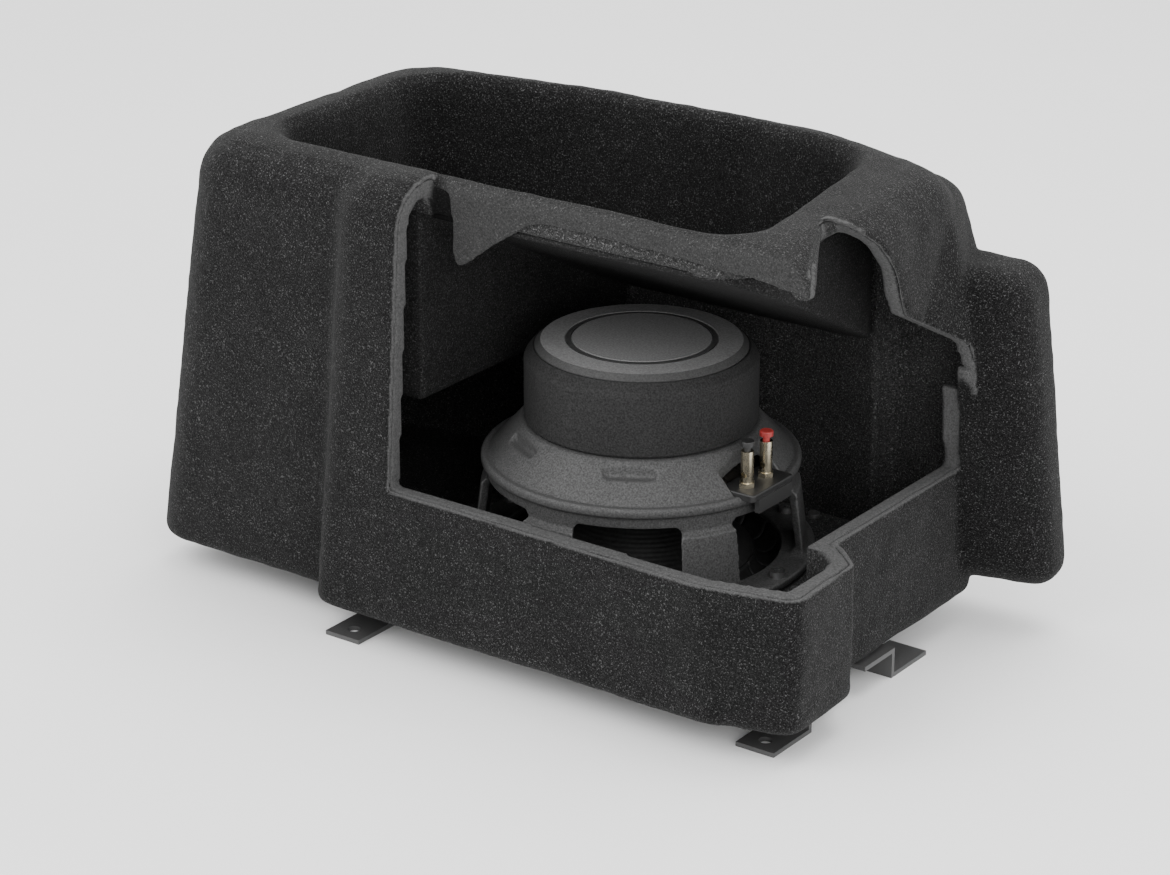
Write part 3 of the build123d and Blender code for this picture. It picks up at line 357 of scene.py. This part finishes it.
def spider_material():
    """Dark treated cloth with a crossed thread pattern."""
    material, tree, shader, node = new_material("spider_cloth")
    coords = node("ShaderNodeTexCoord").outputs["Object"]
    threads = [node("ShaderNodeTexWave", {"Vector": coords, "Scale": 380.0}, bands_direction=way)
               for way in "XY"]
    weave = node("ShaderNodeMath", {0: threads[0].outputs["Fac"], 1: threads[1].outputs["Fac"]},
                 operation="MULTIPLY")
    colour = colour_ramp(node, weave.outputs[0],
                         [(0.1, (0.012, 0.010, 0.008, 1)), (0.8, (0.050, 0.040, 0.030, 1))])
    tree.links.new(colour, shader.inputs["Base Color"])
    shader.inputs["Roughness"].default_value = 0.8
    bump = node("ShaderNodeBump", {"Height": weave.outputs[0], "Strength": 0.4, "Distance": 0.0003})
    tree.links.new(bump.outputs["Normal"], shader.inputs["Normal"])
    return material


def winding_material():
    """Copper wire wound in level turns."""
    material, tree, shader, node = new_material("copper_winding")
    coords = node("ShaderNodeTexCoord").outputs["Object"]
    turns = node("ShaderNodeTexWave", {"Vector": coords, "Scale": 420.0}, bands_direction="Z")
    colour = colour_ramp(node, turns.outputs["Fac"],
                         [(0.1, (0.28, 0.10, 0.04, 1)), (0.8, (0.72, 0.34, 0.16, 1))])
    tree.links.new(colour, shader.inputs["Base Color"])
    shader.inputs["Metallic"].default_value = 1.0
    shader.inputs["Roughness"].default_value = 0.32
    bump = node("ShaderNodeBump", {"Height": turns.outputs["Fac"], "Strength": 0.5, "Distance": 0.0002})
    tree.links.new(bump.outputs["Normal"], shader.inputs["Normal"])
    return material


# ---- mesh helpers -------------------------------------------------------------------------------
def copy_nodes(name, *nodes):
    """One new mesh object from copies of CAD nodes."""
    gathered = bmesh.new()
    for each in nodes:
        gathered.from_mesh(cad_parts[each].data)
    mesh = bpy.data.meshes.new(name)
    gathered.to_mesh(mesh)
    gathered.free()
    piece = bpy.data.objects.new(name, mesh)
    scene.collection.objects.link(piece)
    return piece


def apply_modifiers(piece):
    """Turns a piece's modifiers into its mesh."""
    graph = bpy.context.evaluated_depsgraph_get()
    made = bpy.data.meshes.new_from_object(piece.evaluated_get(graph))
    piece.modifiers.clear()
    piece.data = made
    made.name = piece.name


def remesh(piece, voxel):
    """Rebuilds the piece as one smooth skin of this voxel size."""
    modifier = piece.modifiers.new("remesh", "REMESH")
    modifier.mode = "VOXEL"
    modifier.voxel_size = voxel
    modifier.use_smooth_shade = True
    apply_modifiers(piece)


def vertex_array(mesh):
    co = np.empty(len(mesh.vertices) * 3)
    mesh.vertices.foreach_get("co", co)
    return co.reshape(-1, 3)


def set_vertices(mesh, co):
    mesh.vertices.foreach_set("co", co.reshape(-1))
    mesh.update()


def vertex_normals(mesh):
    normals = np.empty(len(mesh.vertices) * 3)
    mesh.vertex_normals.foreach_get("vector", normals)
    return normals.reshape(-1, 3)


def segment_distance(a, b, outline):
    """Distance in a plane from points (a, b) to an open outline."""
    points = np.stack([a, b], axis=1)
    best = np.full(len(a), 1e9)
    for start, end in zip(outline, outline[1:]):
        start, end = np.array(start), np.array(end)
        along = np.clip(((points - start) @ (end - start)) / ((end - start) @ (end - start)), 0, 1)
        best = np.minimum(best, np.linalg.norm(points - start - along[:, None] * (end - start), axis=1))
    return best


def ramp(value, low, high):
    """0 below low, 1 above high, straight between."""
    return np.clip((value - low) / (high - low), 0, 1)


def near(distance, reach):
    """1 within reach, falling to 0 over the next millimetre."""
    return 1 - ramp(np.abs(distance), reach, reach + 0.0010)


def wall_outside_at(z):
    """The x of the side wall's outer face, which leans in by a small taper."""
    return SHIFT + 0.2012 - 0.0476 * (z - 0.110)


def graze(co):
    """1 over the wedge of felt on the bulge, where the window's rear edge only grazes the bulge's face."""
    x, y, z = co.T
    beyond = ramp(x - wall_outside_at(z), 0.0005, 0.0030) * ramp(-x, -0.240, -0.234)
    return beyond * near(y - 0.104, 0.016) * ramp(z, 0.094, 0.104) * ramp(-z, -0.178, -0.166)


def cut_mask(co, normals, reach):
    """1 on the faces that the window's cut left, 0 elsewhere, with soft edges."""
    x, y, z = co.T
    nx, ny, nz = normals.T
    above = z > WINDOW_SILL - 0.002
    wall_outside = wall_outside_at(z)
    left = near(x - WINDOW_LEFT, reach) * ramp(nx, 0.35, 0.6) * (y < -0.088) * above
    sill = near(z - WINDOW_SILL, reach) * ramp(nz, 0.35, 0.6) * (x > WINDOW_LEFT - 0.002)
    side = near(segment_distance(y, z, WINDOW_SIDE), reach) * ramp(-np.abs(nx), -0.75, -0.5) * (ny < 0.1)
    side *= (x > SIDE_WALL[0] - 0.002) * (x < np.where(z < WALL_SPLIT, wall_outside, SIDE_WALL[1])) * above
    rim = near(segment_distance(x, y, WINDOW_RIM), reach) * ramp(-np.abs(nz), -0.75, -0.55) * (z > 0.274)
    rim *= (ny < 0.2) * (y > -0.09) * (x < SIDE_WALL[1] + 0.004)
    return np.maximum(np.maximum(left, sill), np.maximum(side, rim))


def smooth(piece, rounds, keep=None):
    """Relaxes the mesh, holding back the vertices where keep is 1."""
    if keep is not None:
        group = piece.vertex_groups.new(name="loose")
        levels = np.round(1 - keep, 1)
        for level in np.unique(levels):
            if level > 0:
                group.add(np.nonzero(levels == level)[0].tolist(), float(level), "REPLACE")
    modifier = piece.modifiers.new("smooth", "SMOOTH")
    modifier.factor = 0.5
    modifier.iterations = rounds
    if keep is not None:
        modifier.vertex_group = "loose"
    apply_modifiers(piece)
    piece.vertex_groups.clear()


def write_attribute(piece, name, values):
    """Stores a number for each vertex, for the materials to read."""
    attribute = piece.data.attributes.new(name, "FLOAT", "POINT")
    attribute.data.foreach_set("value", np.asarray(values, dtype=float))


def write_cut(piece, reach, hem_share=0.0):
    """Stores the window's cut faces on the piece, and a share of the same tone on the hem's face."""
    co = vertex_array(piece.data)
    normals = vertex_normals(piece.data)
    mask = cut_mask(co, normals, reach)
    hem = (1 - ramp(np.abs(co[:, 1] - HEM_FACE), 0.002, 0.013)) * ramp(-normals[:, 1], -0.1, 0.7)
    hem *= ramp(co[:, 0], WINDOW_LEFT + 0.002, WINDOW_LEFT + 0.012) * (co[:, 2] > 0.24)
    write_attribute(piece, "cut", np.maximum(mask, hem * hem_share))


def lumps(co, size, seed):
    """Slow smooth noise from a few seeded waves, between about -1 and 1."""
    random = np.random.default_rng(seed)
    total = np.zeros(len(co))
    for _ in range(14):
        direction = random.normal(size=3)
        direction /= np.linalg.norm(direction)
        phase = random.uniform(0, 2 * math.pi)
        wavelength = size * random.uniform(0.6, 1.6)
        total += np.sin(co @ direction * 2 * math.pi / wavelength + phase)
    return total / 5.0


# ---- pieces ----------------------------------------------------------------------------------
CARPET_VOXEL = 0.0016
SHELL_VOXEL = 0.0022
BASKET_VOXEL = 0.0009


def drape(piece):
    """Carries the felt across the wedge where the window's rear edge grazes the bulge."""
    build = bmesh.new()
    build.from_mesh(piece.data)
    rows = []
    for z, wall, corner, slope in WEDGE:
        outline = [(wall, corner), (WEDGE_CORNER, corner),
                   (WEDGE_END, corner + slope * (WEDGE_END - WEDGE_CORNER)), (WEDGE_END, 0.1065),
                   (wall, 0.1005)]
        rows.append([build.verts.new((x + SHIFT, y, z)) for x, y in outline])
    low, high = rows
    count = len(low)
    build.faces.new(low[::-1])
    build.faces.new(high)
    for i in range(count):
        build.faces.new((low[i], low[(i + 1) % count], high[(i + 1) % count], high[i]))
    build.to_mesh(piece.data)
    build.free()


def make_carpet():
    """The carpet over the box, round the rim, down into the bin, and its hem, as one skin."""
    piece = copy_nodes("carpet_skin", "carpet_cover", "window_hem", "bin_carpet")
    drape(piece)
    remesh(piece, CARPET_VOXEL)
    smooth(piece, 14, cut_mask(vertex_array(piece.data), vertex_normals(piece.data), 0.0022))
    smooth(piece, 50, 1 - graze(vertex_array(piece.data)))
    co = vertex_array(piece.data)
    normals = vertex_normals(piece.data)
    swell = 0.00035 * lumps(co, 0.045, 3) + 0.0002 * lumps(co, 0.016, 4)
    co = co + normals * swell[:, None]
    co[:, 2] = np.maximum(co[:, 2], CARPET_BOTTOM - 0.0005)
    set_vertices(piece.data, co)
    write_cut(piece, 0.0020, hem_share=0.36)
    piece.data.materials.append(carpet_material())
    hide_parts("carpet_cover", "window_hem", "bin_carpet")
    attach(piece, "enclosure")


def make_shell():
    """The moulded shell and tub, with the window's edge and the dark gap stored for their materials."""
    parts = (("moulded_shell", "enclosure_shell", shell_material("shell_lined", 1.0)),
             ("moulded_bin", "storage_bin", shell_material("tub_lined", 0.45)))
    for name, node, material in parts:
        piece = copy_nodes(name, node)
        remesh(piece, SHELL_VOXEL)
        smooth(piece, 4, cut_mask(vertex_array(piece.data), vertex_normals(piece.data), 0.003))
        co = vertex_array(piece.data)
        normals = vertex_normals(piece.data)
        loose = 1 - cut_mask(co, normals, 0.0030)
        set_vertices(piece.data, co + normals * (0.0007 * loose)[:, None])
        write_cut(piece, 0.0030)
        gap = near(co[:, 1] - GAP_FACE, 0.004) * (co[:, 0] > WINDOW_LEFT - 0.001) * (co[:, 2] > 0.2)
        gap *= (co[:, 0] < GAP_END) * ramp(-normals[:, 1], 0.2, 0.5)
        write_attribute(piece, "shadow", gap)
        piece.data.materials.append(material)
        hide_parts(node)
        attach(piece, "enclosure")


def make_basket():
    """The cast basket, with the soft edges of a casting."""
    piece = copy_nodes("cast_frame", "driver_basket")
    remesh(piece, BASKET_VOXEL)
    smooth(piece, 5)
    piece.data.materials.append(grained_material("cast_grey", 0.026, 0.082, 0.62, scale=900.0, bump=0.4,
                                                 depth=0.0004, wear=0.12, specular=0.3))
    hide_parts("driver_basket")
    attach(piece, "enclosure")


def ring_sector(name, profile, first, last, steps):
    """A closed sector of a ring round the woofer's axis, swept from a (radius, height) profile."""
    verts, faces = [], []
    count = len(profile)
    for step in range(steps + 1):
        angle = first + (last - first) * step / steps
        for radius, z in profile:
            verts.append((DRIVER.x + radius * math.cos(angle), DRIVER.y + radius * math.sin(angle), z))
    for step in range(steps):
        for i in range(count):
            a, b = step * count + i, step * count + (i + 1) % count
            faces.append((a, b, b + count, a + count))
    faces.append(tuple(range(count))[::-1])
    faces.append(tuple(range(steps * count, (steps + 1) * count)))
    mesh = bpy.data.meshes.new(name)
    mesh.from_pydata(verts, [], faces)
    mesh.validate()
    made = bmesh.new()
    made.from_mesh(mesh)
    bmesh.ops.recalc_face_normals(made, faces=made.faces)
    made.to_mesh(mesh)
    made.free()
    for polygon in mesh.polygons:
        polygon.use_smooth = len(polygon.vertices) == 4
    piece = bpy.data.objects.new(name, mesh)
    scene.collection.objects.link(piece)
    return piece


def thick_line(points, thickness):
    """A closed profile from a line of (radius, height) points, thickened along its normals."""
    points = np.array(points)
    slope = np.gradient(points, axis=0)
    normal = np.stack([-slope[:, 1], slope[:, 0]], axis=1)
    normal /= np.linalg.norm(normal, axis=1)[:, None]
    upper = points + normal * thickness / 2
    lower = points - normal * thickness / 2
    return [tuple(p) for p in upper] + [tuple(p) for p in lower[::-1]]


SECTORS = 24


def make_flexible_ring(name, node, profile, material):
    """A ring in sectors, each bending between the basket and the cone along its own radius."""
    for sector in range(SECTORS):
        first = 2 * math.pi * sector / SECTORS
        last = 2 * math.pi * (sector + 1) / SECTORS
        piece = ring_sector(f"{name}_{sector + 1:02d}", profile, first, last, 6)
        piece.data.materials.append(material)
        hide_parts(node)
        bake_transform(piece)


def make_surround():
    """The half-roll rubber surround with its two flat lips."""
    cone_edge, frame_edge, lip = 0.072, 0.090, 0.0957
    centre, radius = (cone_edge + frame_edge) / 2, (frame_edge - cone_edge) / 2
    points = [(0.0682, 0.0507), (cone_edge - 0.0005, 0.0507)]
    for step in range(13):
        angle = math.pi * step / 12
        points.append((centre - radius * math.cos(angle), 0.0512 - 0.0105 * math.sin(angle)))
    points += [(frame_edge + 0.001, 0.0520), (lip, 0.0520)]
    make_flexible_ring("surround_sector", "surround", thick_line(points, 0.0013),
                       grained_material("surround_rubber", 0.010, 0.020, 0.5, scale=500.0, bump=0.2))


def make_spider():
    """The corrugated cloth spider."""
    inner, outer, height = 0.0325, 0.0903, 0.1130
    points = []
    for step in range(61):
        radius = inner + (outer - inner) * step / 60
        fade = min(1.0, (radius - inner) / 0.008, (outer - radius) / 0.010)
        wave = math.sin((radius - inner) * 2 * math.pi / 0.0092)
        points.append((radius, height + 0.0011 * max(fade, 0) * wave))
    make_flexible_ring("spider_sector", "spider", thick_line(points, 0.0007), spider_material())


def paint(nodes, material):
    """Gives CAD nodes a finished material."""
    for each in nodes:
        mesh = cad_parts[each].data
        mesh.materials.clear()
        mesh.materials.append(material)


def finish_cad_nodes():
    """Materials for the CAD nodes that stay as they are."""
    steel_black = grained_material("powder_coat_black", 0.010, 0.022, 0.42, scale=900.0, bump=0.35,
                                   depth=0.0002, wear=0.05)
    zinc = grained_material("zinc_plate", 0.34, 0.50, 0.34, scale=260.0, metallic=1.0, bump=0.1, wear=0.7)
    iron = grained_material("pressed_steel", 0.10, 0.18, 0.45, scale=220.0, metallic=1.0, bump=0.15)
    rubber = grained_material("boot_rubber", 0.005, 0.026, 0.8, scale=900.0, bump=0.5, depth=0.0004,
                              specular=0.25)
    plastic = grained_material("black_moulding", 0.010, 0.020, 0.45, scale=520.0, bump=0.2, wear=0.03)
    ring = grained_material("cap_ring_dark", 0.028, 0.050, 0.5, scale=520.0, bump=0.2)
    nickel = grained_material("nickel_plate", 0.52, 0.66, 0.24, scale=240.0, metallic=1.0, bump=0.08,
                              tint=(1.0, 0.90, 0.68))
    red = grained_material("red_moulding", 0.22, 0.34, 0.42, scale=420.0, bump=0.1, tint=(1.0, 0.09, 0.08))
    plate = grained_material("anodised_black", 0.018, 0.030, 0.38, scale=700.0, metallic=0.6, bump=0.12,
                             wear=0.16)
    green = grained_material("circuit_board", 0.05, 0.09, 0.4, scale=260.0, bump=0.15, tint=(0.2, 1.0, 0.45))
    ferrite = grained_material("ferrite", 0.035, 0.055, 0.6, scale=340.0, bump=0.2)
    paint(["mounting_foot_front_left", "mounting_foot_front_right", "mounting_foot_rear_left",
           "mounting_foot_rear_right", "amp_chassis"], steel_black)
    paint(["board_screws", "foot_bolts", "driver_screws", "amp_screws", "power_screws"], zinc)
    paint(["top_plate", "yoke"], iron)
    paint(["driver_gasket", "amp_gasket", "magnet_boot"], rubber)
    paint(["terminal_block", "terminal_button_negative", "power_terminal", "fuse_holder", "gain_knob",
           "crossover_knob", "boost_knob", "phase_switch", "input_switch", "amp_capacitors",
           "amp_transformer"], plastic)
    paint(["magnet_cap"], cap_material())
    paint(["cap_ring"], ring)
    paint(["terminal_post_positive", "terminal_post_negative", "rca_sockets"], nickel)
    paint(["terminal_button_positive", "fuses", "power_led"], red)
    paint(["amp_plate", "amp_heatsink"], plate)
    paint(["amp_board"], green)
    paint(["magnet_ring"], ferrite)
    paint(["baffle_board"], board_material())
    paint(["cone", "dust_cap", "coil_former", "former_collar"], cone_material())
    paint(["coil_winding"], winding_material())


make_camera()
make_studio()
finish_cad_nodes()
make_carpet()
make_shell()
make_basket()
make_surround()
make_spider()
